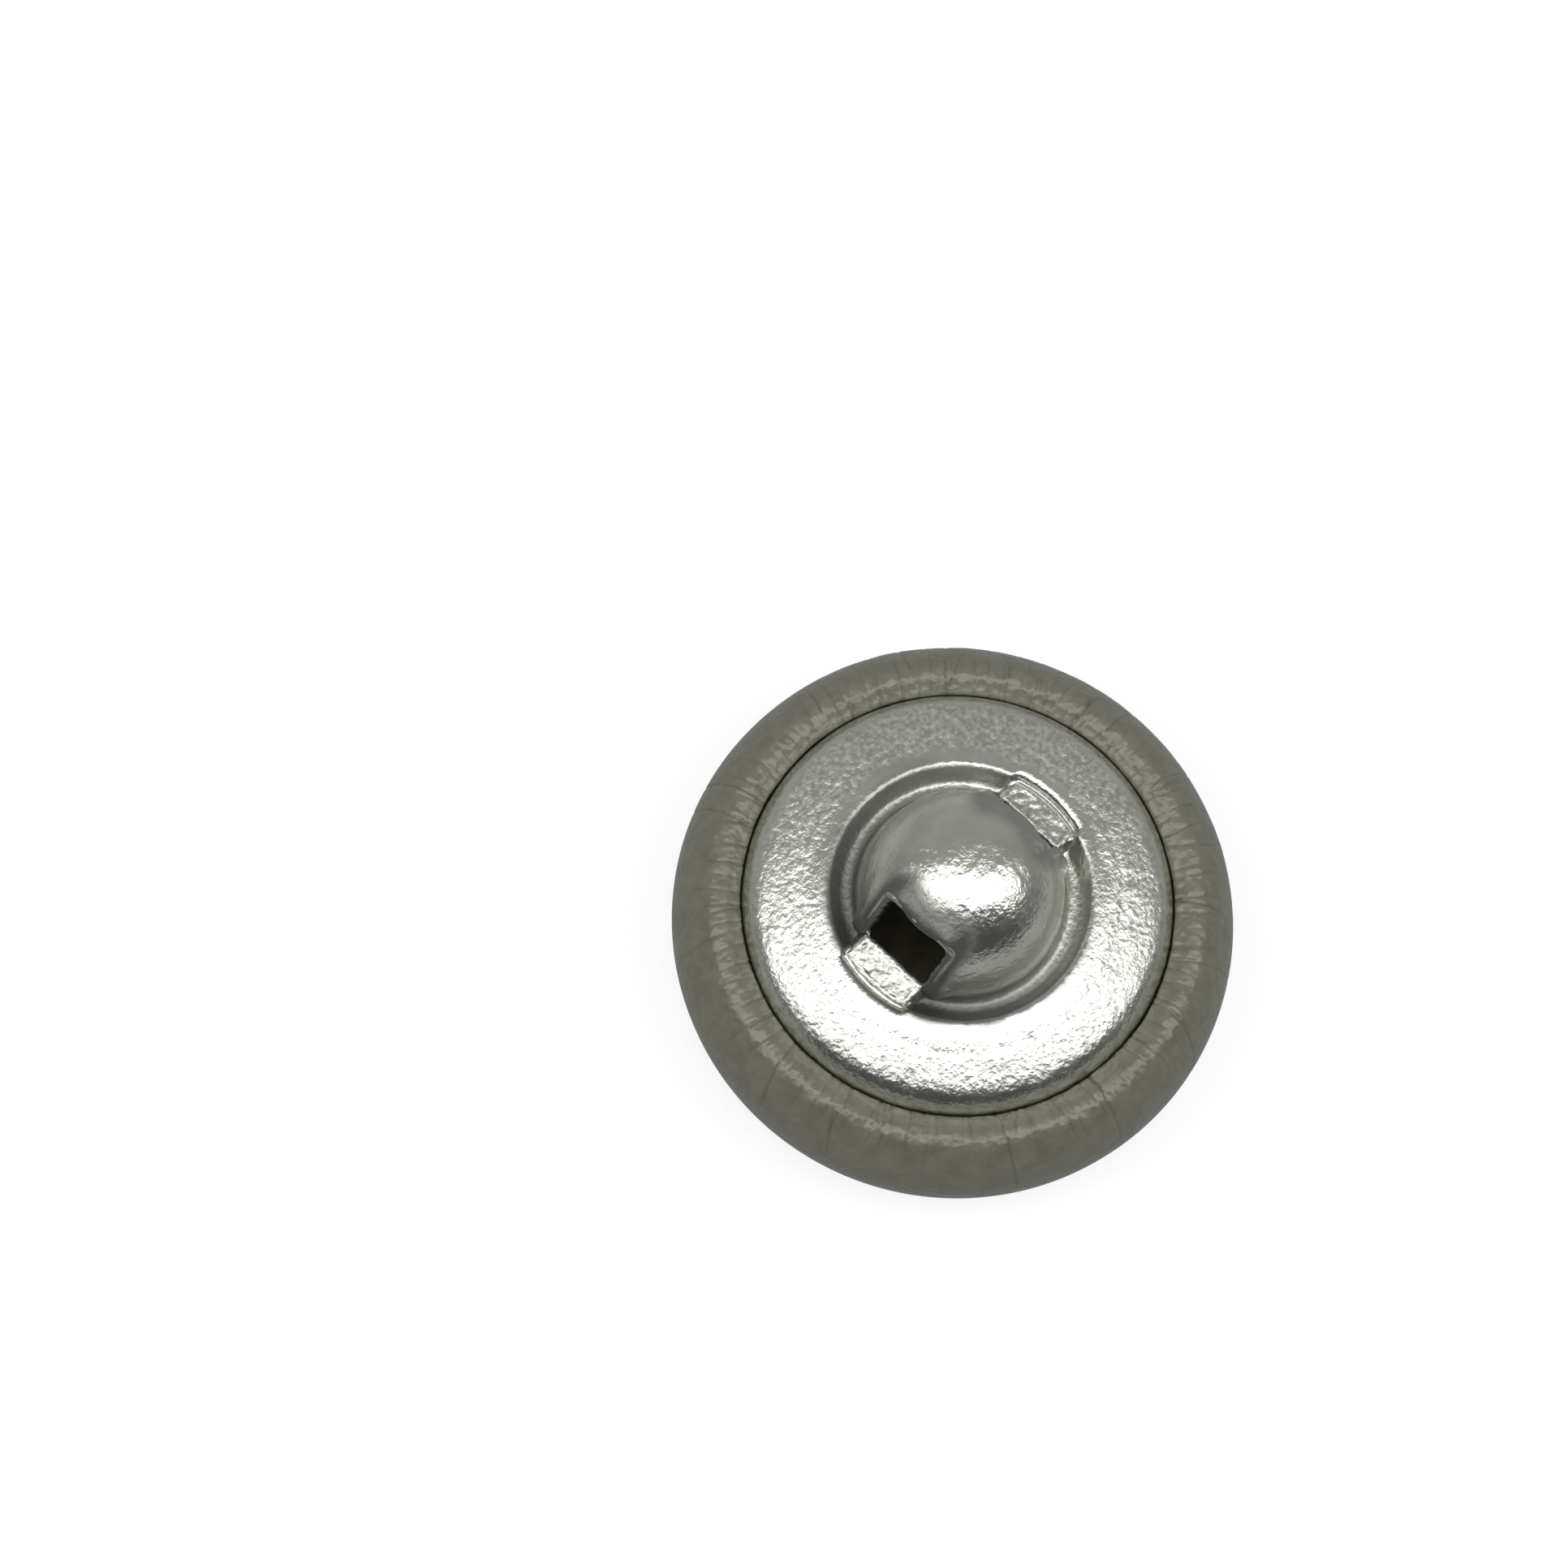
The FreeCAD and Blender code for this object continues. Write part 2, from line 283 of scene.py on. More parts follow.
def crease_family(count, starts, ends, widths, depths, slant):
    """Rows of azimuth, start, end, width, depth and slant: even steps round the rim, each a share off."""
    stray = chance.uniform(-CREASE_STRAY, CREASE_STRAY, count)
    azimuth = (np.arange(count) + stray) * 2 * math.pi / count
    ranges = [chance.uniform(*limits, count) for limits in (starts, ends, widths, depths)]
    return np.column_stack((azimuth, *ranges, chance.normal(0, slant, count)))


def crease_depths(section_way, radius, creases):
    """The sum of grooves: depth times a bell across the crease, faded in and out along it."""
    total = np.zeros((len(section_way), LEATHER_COLUMNS))
    way = section_way[:, None]
    for azimuth, start, end, width, depth, slant in creases:
        off = leather_turn[None, :] - azimuth - slant * (way - start) / radius[:, None]
        across = np.abs((off + math.pi) % (2 * math.pi) - math.pi) * radius[:, None]
        along = rise(way, start, start + FADE_IN) * (1 - rise(way, end - FADE_OUT, end))
        total += depth * along * bell(across, 0, width)
    return total


# %% Creasing the rim
INTO_GAP = 0.6
equator_way = leather_way[np.argmax(outer_section[:, 0])]
back_end = equator_way + BACK_ROUND * math.radians(crown_angle)
crown_end = back_end + CROWN_ROUND * math.radians(180 - crown_angle)
gap = crown_end + INTO_GAP
gathers = crease_family(
    count=18,
    starts=(equator_way - 0.2, equator_way + 1.4),
    ends=(back_end + 0.2, gap),
    widths=(0.05, 0.08),
    depths=(0.02, 0.045),
    slant=0.10,
)
tucks = crease_family(
    count=130,
    starts=(back_end - 1.3, back_end + 0.4),
    ends=(gap - 0.5, gap),
    widths=(0.045, 0.08),
    depths=(0.012, 0.035),
    slant=0.12,
)
hairlines = crease_family(
    count=110,
    starts=(equator_way + 0.1, back_end - 0.5),
    ends=(equator_way + 1.2, crown_end),
    widths=(0.04, 0.055),
    depths=(0.006, 0.02),
    slant=0.25,
)
creases = np.vstack((gathers, tucks, hairlines))
grooves = crease_depths(leather_way, outer_section[:, 0], creases)
print(len(creases), "creases, the deepest", round(grooves.max(), 3), "mm")

# %% [markdown]
# Between the creases the rim swells a little, which breaks up its highlight.
# The skin is first sunk by a hair, so that the swellings stand only a few
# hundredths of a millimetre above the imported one. The face and the tail are
# left as smooth as they are.

# %% Pushing the rim's skin in
SKIN_SINK = 0.02
leather_points = turned(outer_section, leather_turn)
swelling = uneven(leather_points * (1, 1, 0.4), (1.1, 21, 0.04))
swelling += uneven(leather_points * (1, 1, 0.5), (0.42, 22, 0.021))
swelling += uneven(leather_points, (0.21, 24, 0.011))
rim_share = rise(leather_way, equator_way, back_end)[:, None]
on_tail = leather_way[:, None] > crown_end
below_skin = np.where(on_tail, 0.0, grooves + (SKIN_SINK + swelling) * rim_share)
leather_points -= turned(outward(outer_section), leather_turn) * below_skin[..., None]
print("below the packed skin, in mm:", round(below_skin.min(), 3), "to", round(below_skin.max(), 3))

# %% [markdown]
# Beside the plate the leather is squeezed against the plate's round shoulder,
# down to a hair's gap. For each height the shoulder's own radius is worked out,
# and the points near it are drawn to that radius, with a little wander.

# %% Squeezing the leather against the plate
SHOULDER_ROUND, SHOULDER_RISE = 1.5, 0.05
SQUEEZE_REACH, SQUEEZE_SOFT = 0.45, 0.3
WANDER_SCALE, WANDER_SEED, WANDER = 0.9, 23, 0.02

shoulder_centre = (plate_radius - SHOULDER_ROUND, crown_z + SHOULDER_RISE)
leather_radius = np.hypot(leather_points[..., 0], leather_points[..., 1])
above_centre = np.clip(leather_points[..., 2] - shoulder_centre[1], 0, SHOULDER_ROUND)
plate_side = shoulder_centre[0] + np.sqrt(SHOULDER_ROUND**2 - above_centre**2) + SEAT_GAP
nearness = rise(plate_side + SQUEEZE_REACH - leather_radius, 0.0, SQUEEZE_SOFT)
squeezed = (leather_way > back_end)[:, None] * nearness
plate_edge = turned(np.array([[plate_radius, 0.0]]), leather_turn)
wander = uneven(plate_edge, (WANDER_SCALE, WANDER_SEED, WANDER))[0] + WANDER
squeezed_radius = leather_radius + (plate_side + wander - leather_radius) * squeezed
leather_points[..., :2] *= (squeezed_radius / leather_radius)[..., None]
print("the hair's gap is", SEAT_GAP, "to", round(SEAT_GAP + wander.max(), 3), "mm wide")

# %% [markdown]
# Outside and lining are stacked into one closed grid, with a pole on each side of the face's middle. The
# piece stands for the imported leather.

# %% The leather piece
inner_points = turned(inner_section, leather_turn)
rows = len(outer_section) + len(inner_section)
grid = np.concatenate((leather_points, inner_points)).reshape(-1, 3)
poles = np.array([[0, 0, 0], [0, 0, LEATHER_WALL]])
first_ring = np.arange(LEATHER_COLUMNS)
last_ring = first_ring + (rows - 1) * LEATHER_COLUMNS
leather = piece("rolled_leather_cover", np.vstack((grid, poles)), [
    grid_quads(rows, LEATHER_COLUMNS, True),
    fan(len(grid), first_ring, True),
    fan(len(grid) + 1, last_ring, False),
])
crease_value = np.zeros((rows, LEATHER_COLUMNS))
crease_value[: len(outer_section)] = grooves
keep_values(leather, "crease", np.append(crease_value.ravel(), [0, 0]))
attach(leather, "root")
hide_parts("leather_cover")

# %% [markdown]
# The back plate's section starts at the bottom of the flange that holds it, goes
# round the shoulder, up the shallow cone to the crest, down into the moat, and
# up the wall of the dome to the middle. The crest's edge is drawn tighter than
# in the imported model, because the pressed edge catches the light as a thin line.

# %% Where the plate's arcs lie
SHOULDER_SLOPE, CONE_CURVE, FLANGE_DEPTH, PLATE_WALL = 20.0, 14.0, 1.7, 0.4
DOME_HEIGHT, DOME_DRAFT, DOME_FLAT = 3.5, 12.0, 0.3
EDGE_ROUND = 0.28

cone_angle = 90 - SHOULDER_SLOPE
cone_centre = arc(shoulder_centre, SHOULDER_ROUND - CONE_CURVE, cone_angle, cone_angle, 1)[0]
crest_z = cone_centre[1] + math.sqrt((CONE_CURVE - CREST_ROUND) ** 2 - (crest_x - cone_centre[0]) ** 2)
crest_angle = math.degrees(math.atan2(crest_z - cone_centre[1], crest_x - cone_centre[0]))
crest_top = crest_z + CREST_ROUND
half_bend = np.radians((moat_angle - crest_angle) / 2)
mid_bend = np.radians((moat_angle + crest_angle) / 2)
edge_out = (CREST_ROUND - EDGE_ROUND) / math.cos(half_bend)
edge_centre = np.array((crest_x, crest_z)) + edge_out * np.array((math.cos(mid_bend), math.sin(mid_bend)))

moat_floor_z = crest_top - MOAT_DEPTH
dome_foot = np.array((foot_x, moat_floor_z + MOAT_ROUND))
dome_top = crest_top + DOME_HEIGHT
print("heights: crest", round(crest_top, 2), "moat", round(moat_floor_z, 2), "dome", round(dome_top, 2))

# %% [markdown]
# The dome's cap touches its drafted wall, and that sets the cap's radius: the
# cap's centre lies as far from the wall's line as it lies under the dome's top.

# %% The plate's half section
POLE_HOLE = 0.12
wall_normal = np.array((math.cos(math.radians(DOME_DRAFT)), math.sin(math.radians(DOME_DRAFT))))
wall_foot = dome_foot - MOAT_ROUND * wall_normal
dome_curve = (wall_foot - (DOME_FLAT, dome_top)) @ wall_normal / (1 - wall_normal[1])
cap_centre = (DOME_FLAT, dome_top - dome_curve)
wall_head = arc(cap_centre, dome_curve, DOME_DRAFT, DOME_DRAFT, 1)[0]
plate_section = joined(
    line((plate_radius, crown_z - FLANGE_DEPTH), (plate_radius, shoulder_centre[1]), 5),
    arc(shoulder_centre, SHOULDER_ROUND, 0, cone_angle, 13),
    arc(cone_centre, CONE_CURVE, cone_angle, crest_angle, 24),
    arc(edge_centre, EDGE_ROUND, crest_angle, moat_angle, 9),
    arc((moat_x, dome_foot[1]), MOAT_ROUND, moat_angle - 180, -90, 7),
    arc(dome_foot, MOAT_ROUND, -90, DOME_DRAFT - 180, 8),
    line(wall_foot, wall_head, 12),
    arc(cap_centre, dome_curve, DOME_DRAFT, 90, 30),
    line((DOME_FLAT, dome_top), (POLE_HOLE, dome_top), 2),
)
dome_start = np.argmin(np.linalg.norm(plate_section - wall_foot, axis=1))
print("plate section has", len(plate_section), "points; the dome starts at row", dome_start)

# %% [markdown]
# A press never leaves the bends of the moat as crisp as a drawing. A running
# mean along the section softens them, like the Smooth modifier, but only from
# just past the crest to the foot of the dome's wall.

# %% Softening the moat
MEAN_STEPS = 12
MOAT_SOFT, AFTER_CREST, AFTER_FOOT = 0.13, 0.45, 0.9


def eased(section, first, last, width):
    """The section, softened between two lengths by a bell-shaped running mean of this width."""
    way = way_along(section)
    even = np.arange(0, way[-1], width / MEAN_STEPS)
    reach = 3 * MEAN_STEPS
    weights = np.exp(-0.5 * (np.arange(-reach, reach + 1) / MEAN_STEPS) ** 2)
    share = rise(even, first - width, first + width) * (1 - rise(even, last - width, last + width))
    soft = np.empty((len(even), 2))
    for axis in (0, 1):
        exact = np.interp(even, way, section[:, axis])
        mean = np.convolve(np.pad(exact, reach, mode="edge"), weights / weights.sum(), "valid")
        soft[:, axis] = exact + (mean - exact) * share
    return np.column_stack([np.interp(way, even, soft[:, axis]) for axis in (0, 1)])


drawn_way = way_along(plate_section)
crest_row = np.argmax(plate_section[:, 1] * (plate_section[:, 0] > moat_x))
plate_section = eased(
    plate_section, drawn_way[crest_row] + AFTER_CREST, drawn_way[dome_start] + AFTER_FOOT, MOAT_SOFT)
plate_normal = outward(plate_section)
print("the moat is softened from row", crest_row, "to the dome's wall")

# %% [markdown]
# Two things are pressed into the turned form: a pad beside each slot, and a lip
# round it. The slot is a rectangle with round top corners, seen along the
# thread, so the distance to its edge is worked out in that view. The pads fall
# away from the slots, as the cone does.

# %% Measuring from the slots and the pads
SLOT_WIDTH, SLOT_HEIGHT, SLOT_CORNER = 3.2, 2.5, 0.55
PAD_TUCK, PAD_DROP = 0.42, 0.1
PAD_HALF, PAD_LENGTH, PAD_BOW, PAD_SLOPE, PAD_PROUD = 1.62, 1.45, 0.25, 10.0, 0.14
BED_SIDE, BED_END = (-0.1, 0.2), (0.05, 0.3)

pad_start = DOME_RADIUS - PAD_TUCK
pad_top = crest_top - PAD_DROP
slot_top = pad_top + SLOT_HEIGHT


def slot_distance(across, height):
    """Distance from the slot's edge in the view along the thread; negative inside it."""
    beside = np.abs(across) - (SLOT_WIDTH / 2 - SLOT_CORNER)
    above = height - (slot_top - SLOT_CORNER)
    outside = np.hypot(np.maximum(beside, 0), np.maximum(above, 0))
    return outside + np.minimum(np.maximum(beside, above), 0) - SLOT_CORNER


def over_pad(points):
    """1 over a pad and 0 beside it, with a soft slope down each side and at the bowed outer end."""
    side = 1 - rise(np.abs(points[..., 1]), PAD_HALF + BED_SIDE[0], PAD_HALF + BED_SIDE[1])
    bowed = PAD_LENGTH - PAD_BOW * (points[..., 1] / PAD_HALF) ** 2
    end = 1 - rise(np.abs(points[..., 0]) - pad_start, bowed + BED_END[0], bowed + BED_END[1])
    return side * end


def pad_height(out):
    """The pad's own level: it falls away from the slot at PAD_SLOPE degrees, as the cone does."""
    return pad_top + PAD_PROUD - math.tan(math.radians(PAD_SLOPE)) * (np.abs(out) - pad_start)


print("each slot is", SLOT_WIDTH, "mm wide and its top is", round(slot_top, 2), "mm high")

# %% [markdown]
# The sheet is first raised to a bed under each pad. The coined pads themselves
# are laid on these beds later, with their own finer grid.

# %% Turning the plate and raising the pads' beds
PLATE_COLUMNS = 360
BED_SINK = 0.07
plate_turn = np.arange(PLATE_COLUMNS) * 2 * math.pi / PLATE_COLUMNS
plate_points = turned(plate_section, plate_turn)
plate_reach = np.broadcast_to(plate_section[:, :1], plate_points.shape[:2])
plate_height = np.broadcast_to(plate_section[:, 1:], plate_points.shape[:2])
on_dome = np.arange(len(plate_section))[:, None] > dome_start
bed_lift = pad_height(plate_points[..., 0]) - BED_SINK - plate_height
plate_points[..., 2] += bed_lift * over_pad(plate_points) * ~on_dome
print("the plate's grid is", plate_points.shape[0], "by", plate_points.shape[1])

# %% [markdown]
# Round each slot the punch has left its marks on the dome. The wall stands as
# a nearly flat brow over the slot, the edge swells into a lip with a faint
# valley behind it, and the wall flares out at the slot's lower corners. The brow
# is moved out along the thread. The other marks are bells, and they push the
# surface along its normal.

# %% The marks of the punch round the slots
SLOT_FACE, BROW_REACH, BROW_FROM = 2.86, 0.24, 1.0
LIP_SWELL, LIP_REACH = 0.1, 0.34
VALLEY, VALLEY_OFF, VALLEY_REACH = 0.03, 0.45, 0.2
FLARE, FLARE_SIDE, FLARE_REACH, FLARE_FROM = 0.34, 2.0, 0.42, 2.0
FLARE_FOOT, FLARE_HEAD = 0.1, 0.9

from_slot = slot_distance(plate_points[..., 1], plate_points[..., 2])
above_pads = on_dome * (plate_points[..., 2] > pad_top)
out = np.abs(plate_points[..., 0])
to_face = np.maximum(SLOT_FACE - out, 0) * (out > BROW_FROM)
brow = to_face * bell(np.maximum(from_slot, 0), 0, BROW_REACH) * above_pads
plate_points[..., 0] += np.sign(plate_points[..., 0]) * brow

lip_swell = LIP_SWELL * bell(from_slot, 0, LIP_REACH) * above_pads
valley = VALLEY * bell(from_slot, VALLEY_OFF, VALLEY_REACH) * above_pads
at_corner = bell(np.abs(plate_points[..., 1]), FLARE_SIDE, FLARE_REACH)
at_corner *= np.abs(plate_points[..., 0]) > FLARE_FROM
flare_fade = 1 - rise(plate_points[..., 2], moat_floor_z + FLARE_FOOT, pad_top + FLARE_HEAD)
flare = FLARE * at_corner * on_dome * flare_fade
print("the brow moves the wall by up to", round(brow.max(), 2), "mm")

# %% [markdown]
# The press has frosted a broad band of the cone and hammered it slightly, and
# the dome has shallow dents. A faint turned ring runs round the cone. Where the
# frost lies is kept as an attribute, so that the material can follow it.

# %% Frost, hammering and dents
FROST_IN, FROST_OUT = (5.75, 6.2), (7.9, 8.3)
RING_DEPTH, RING_RADIUS, RING_WIDTH = 0.02, 6.5, 0.12
PLAIN_SHARE = 0.2

frost_edge = plate_reach + uneven(plate_points, (0.5, 30, 0.2))
frost = rise(frost_edge, *FROST_IN) * (1 - rise(frost_edge, *FROST_OUT))
hammer = uneven(plate_points, (0.36, 31, 0.015), (0.8, 32, 0.012))
dents = uneven(plate_points, (0.8, 33, 0.011), (0.3, 34, 0.013))
hammered = hammer * (PLAIN_SHARE + (1 - PLAIN_SHARE) * frost) * ~on_dome
ring_groove = RING_DEPTH * bell(plate_reach, RING_RADIUS, RING_WIDTH) * ~on_dome
push = lip_swell - valley + flare + hammered + dents * on_dome - ring_groove
plate_points += turned(plate_normal, plate_turn) * push[..., None]
print("hammering and dents reach", round(np.abs(hammered + dents * on_dome).max(), 3), "mm")

# %% [markdown]
# In the moat and round the slots the metal is duller and a little less metallic, and its colour is painted
# darker there: painted shade. The painted shade is strongest towards -X and weaker towards +X. Its edge
# wanders over the crest. This becomes an attribute too.

# %% Where the metal is dull and painted darker as shade
SHADE_START, SHADE_SOFT, SHADE_WANDER = 0.12, 0.35, (0.4, 35, 0.12)
DOME_SHADE_END = (7.7, 8.3)
SHADE_LEAST, SHADE_TURN = 0.22, 0.42
SLOT_SHADE, SLOT_SHADE_FROM = (0.4, 0.8), 1.5
SLOT_SHADE_PLUS_X, SLOT_SHADE_MINUS_X = 0.55, 0.95

# painted shade: this share darkens the metal's colour in the moat, and also dulls it
shade_edge = SHADE_START + uneven(plate_points, SHADE_WANDER)
recess = rise(crest_x + shade_edge - plate_reach, 0.0, SHADE_SOFT)
recess *= 1 - rise(plate_height, *DOME_SHADE_END) * on_dome
# the painted shade is made stronger towards -X than towards +X
recess *= SHADE_LEAST + SHADE_TURN * (1 - np.cos(plate_turn))
# round the slots the metal is painted darker too, as painted shade, more on the -X side
round_slot = (1 - rise(from_slot, *SLOT_SHADE)) * on_dome * (plate_reach > SLOT_SHADE_FROM)
recess = np.maximum(recess, np.where(plate_points[..., 0] > 0, SLOT_SHADE_PLUS_X, SLOT_SHADE_MINUS_X) * round_slot)
recess *= 1 - over_pad(plate_points) * ~on_dome
print("oxide: mean share", round(recess.mean(), 2), "largest", round(recess.max(), 2))

# %% [markdown]
# The real dome wasn't drawn quite upright: it leans a little along the thread.
# The faces inside the slots are left out, and a Solidify modifier then gives the
# one surface the sheet's thickness on its inner side.

# %% Cutting the slots and making the sheet
DOME_LEAN = 0.42
SLOT_WALL_FROM = 2.5


def leaned(points):
    """The dome's points, moved along the thread's axis by a share of their height above the pads."""
    moved = points.copy()
    moved[..., 0] += DOME_LEAN * np.clip((points[..., 2] - pad_top) / DOME_HEIGHT, 0, 1)
    return moved


plate_grid = plate_points.reshape(-1, 3)
plate_faces = grid_quads(len(plate_section), PLATE_COLUMNS, True)
middle = plate_grid[plate_faces].mean(axis=1)
on_wall = (plate_faces[:, 0] >= dome_start * PLATE_COLUMNS) & (np.abs(middle[:, 0]) > SLOT_WALL_FROM)
in_slot = (slot_distance(middle[:, 1], middle[:, 2]) < 0) & on_wall
top_ring = np.arange(PLATE_COLUMNS) + len(plate_grid) - PLATE_COLUMNS
plate_pole = np.array([[0, 0, dome_top]])
pressed_sheet = piece(
    "pressed_back_plate",
    leaned(np.vstack((plate_grid, plate_pole))),
    [plate_faces[~in_slot], fan(len(plate_grid), top_ring, False)],
)
keep_values(pressed_sheet, "frost", np.append(frost.ravel(), 0))
keep_values(pressed_sheet, "recess", np.append(recess.ravel(), 0))
thickness = pressed_sheet.modifiers.new("sheet thickness", "SOLIDIFY")
thickness.thickness = PLATE_WALL * MM
thickness.offset = -1
print("faces taken out for the two slots:", int(in_slot.sum()))

# %% [markdown]
# The edge of each slot is rolled, so it catches the light as a narrow bright
# band. It is a small oval section carried along an arch that lies on the dome:
# up one side of the slot, over its top and down the other side. A bevelled
# curve could do this too, but a curve's section turns about its path, and this
# one has to stay flat on the dome.

# %% Helpers for the slots' rolled edges
LIP_BAND, LIP_HALF_HEIGHT, LIP_SINK, LIP_SHADE = 0.36, 0.22, 0.12, 0.4
ARCH_STEPS, BAND_CORNERS = 110, 18
wall_rows = plate_section[dome_start:]


def slot_arch(side):
    """An arch round the slot on the dome: x is the root of radius^2 - y^2, but at least SLOT_FACE."""
    half, bend_z = (SLOT_WIDTH + LIP_BAND) / 2, slot_top - SLOT_CORNER
    bend = arc((half - SLOT_CORNER, bend_z), SLOT_CORNER, 0, 90, 9)
    right = joined(line((half, moat_floor_z), (half, bend_z), 14), bend)
    outline = joined(right, right[::-1] * (-1, 1))
    way = way_along(outline)
    even = np.linspace(0, way[-1], ARCH_STEPS)
    across = np.interp(even, way, outline[:, 0])
    height = np.interp(even, way, outline[:, 1])
    radius = np.interp(height, wall_rows[:, 1], wall_rows[:, 0])
    face = np.maximum(np.sqrt(radius**2 - across**2), SLOT_FACE)
    return np.column_stack((side * face, across * side, height))


def dome_normal(points):
    """Unit normals of the dome: out from the middle, tipped up by the wall's slope at that height."""
    slope = np.gradient(wall_rows[:, 0], wall_rows[:, 1])
    tip = np.interp(points[:, 2], wall_rows[:, 1], -slope)
    radius = np.hypot(points[:, 0], points[:, 1])
    normal = np.column_stack((points[:, 0] / radius, points[:, 1] / radius, tip))
    return normal / np.linalg.norm(normal, axis=1)[:, None]


def carried(path, surface_normal, half_width, half_height, sink, corners):
    """An oval section carried along a path, its width in the surface and its height along the normal."""
    tangent = np.gradient(path, axis=0)
    tangent /= np.linalg.norm(tangent, axis=1)[:, None]
    beside = np.cross(surface_normal, tangent)
    beside /= np.linalg.norm(beside, axis=1)[:, None]
    up = np.cross(tangent, beside)
    angle = np.arange(corners) * 2 * math.pi / corners
    wide = half_width * np.cos(angle)
    high = half_height * np.sin(angle) - sink
    return path[:, None] + beside[:, None] * wide[None, :, None] + up[:, None] * high[None, :, None]


# %% Rolling the slots' edges
def slot_lip(name, side):
    """One rolled edge, closed at both ends by a fan."""
    arch = slot_arch(side)
    band = carried(arch, dome_normal(arch), LIP_BAND / 2, LIP_HALF_HEIGHT, LIP_SINK, BAND_CORNERS)
    ends = np.vstack((band[:1].mean(axis=1), band[-1:].mean(axis=1)))
    ring = np.arange(BAND_CORNERS)
    count = ARCH_STEPS * BAND_CORNERS
    lip = piece(name, leaned(np.vstack((band.reshape(-1, 3), ends))), [
        grid_quads(ARCH_STEPS, BAND_CORNERS, True),
        fan(count, ring, True),
        fan(count + 1, ring + count - BAND_CORNERS, False),
    ])
    # the lips take a share of the recess value: painted shade that darkens them, with duller metal
    keep_values(lip, "recess", np.full(count + 2, LIP_SHADE))
    return lip


lips = [slot_lip("slot_lip_a", 1), slot_lip("slot_lip_b", -1)]
print("the rolled edges are", LIP_BAND, "mm wide")

# %% [markdown]
# At the foot of each slot lies a small coined pad, the landing that the thread
# rubs on. It is a block with rounded edges and a raised frame. Its top is struck
# with small pips, worn away in places and blurred by blotches, and its outer end
# runs out on the cone in a curved step. The dome leans towards +X, so the pad on
# that side starts a little further out.

# %% The top of a coined pad
PAD_ROWS, PAD_COLUMNS = 54, 74
EDGE_FALL, EDGE_ROLL = 0.16, 0.14
FRAME_HEIGHT, FRAME_IN, FRAME_WIDTH = 0.028, 0.2, 0.09
PIP_HEIGHT, PIP_LENGTH, PIP_WIDTH, PIP_TURN = 0.036, 0.31, 0.36, 0.6
BLOTCH_HEIGHT, COIN_FROM, COIN_FULL = 0.05, 0.2, 0.35
EDGE_NOISE, EDGE_STRAY = (50, 0.35, 43), 0.03
WEAR_NOISE, WEAR_SPAN = (17, 0.5, 41), (-0.3, 0.5)
BLOTCH_NOISE, SIDE_SHIFT = (30, 0.33, 42), 9


def pad_noise(flat, side, shift, scale, seed):
    """Lattice noise over the flat pad, from another part of the lattice for each side and use."""
    return lattice_noise(flat + shift + SIDE_SHIFT * side, scale, seed)


def pad_relief(side, along, length, out, wide):
    """Height of a pad's top over its level: rounded edges, a bell for the frame, sines for the pips."""
    flat = np.stack(np.broadcast_arrays(out, wide, 0 * along), -1)
    edge = np.minimum(np.minimum(along * length, (1 - along) * length), PAD_HALF - np.abs(wide))
    edge += pad_noise(flat, side, *EDGE_NOISE) * EDGE_STRAY
    from_rim = 1 - np.clip(edge / EDGE_ROLL, 0, 1)
    rounded = EDGE_FALL * (1 - np.sqrt(np.clip(1 - from_rim**2, 0, 1)))
    framed = FRAME_HEIGHT * bell(edge, FRAME_IN, FRAME_WIDTH)
    pips = np.sin(out * math.pi / PIP_LENGTH + PIP_TURN * side) * np.sin(wide * math.pi / PIP_WIDTH)
    wear = rise(pad_noise(flat, side, *WEAR_NOISE), *WEAR_SPAN)
    blotches = pad_noise(flat, side, *BLOTCH_NOISE)
    coined = (PIP_HEIGHT * pips * wear + BLOTCH_HEIGHT * blotches) * rise(edge, COIN_FROM, COIN_FULL)
    return framed + coined - rounded


# %% Coining the pads
PAD_BACKED = {1: 0.12, -1: 0.0}
PAD_SHADE = 0.2


def rim_of_grid(rows, columns):
    """Vertex numbers round the edge of a grid, in order."""
    last_row, last_column = (rows - 1) * columns, columns - 1
    return np.concatenate((
        np.arange(columns),
        np.arange(1, rows) * columns + last_column,
        last_row + np.arange(columns - 2, -1, -1),
        np.arange(rows - 2, 0, -1) * columns,
    ))


def coined_pad(name, side):
    """A block: the struck top, a plain underside one sheet's thickness down, and walls between them."""
    along = np.linspace(0, 1, PAD_ROWS)[:, None]
    spread = np.linspace(-1, 1, PAD_COLUMNS)[None, :]
    start = pad_start + PAD_BACKED[side]
    length = PAD_LENGTH + pad_start - start - PAD_BOW * spread**2
    out, wide = start + length * along, spread * PAD_HALF
    top = pad_height(out) + pad_relief(side, along, length, out, wide)
    bottom = pad_height(out) - PLATE_WALL
    layers = [
        np.stack(np.broadcast_arrays(side * out, side * wide, height), -1)
        for height in (top, bottom)
    ]
    count = PAD_ROWS * PAD_COLUMNS
    quads, rim = grid_quads(PAD_ROWS, PAD_COLUMNS, False), rim_of_grid(PAD_ROWS, PAD_COLUMNS)
    following = np.roll(rim, -1)
    walls = np.column_stack((rim, following, following + count, rim + count))
    pad = piece(name, np.concatenate(layers).reshape(-1, 3), [quads[:, ::-1], quads + count, walls])
    keep_values(pad, "frost", np.full(2 * count, 1.0))
    # the pads take a small share of the recess value: a little painted shade, with duller metal
    keep_values(pad, "recess", np.full(2 * count, PAD_SHADE))
    return pad


pads = [coined_pad("coined_pad_a", 1), coined_pad("coined_pad_b", -1)]
print("each pad is", 2 * PAD_HALF, "mm wide")

# %% [markdown]
# Sheet, lips and pads are one piece of metal, so they are joined into one
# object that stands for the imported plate.

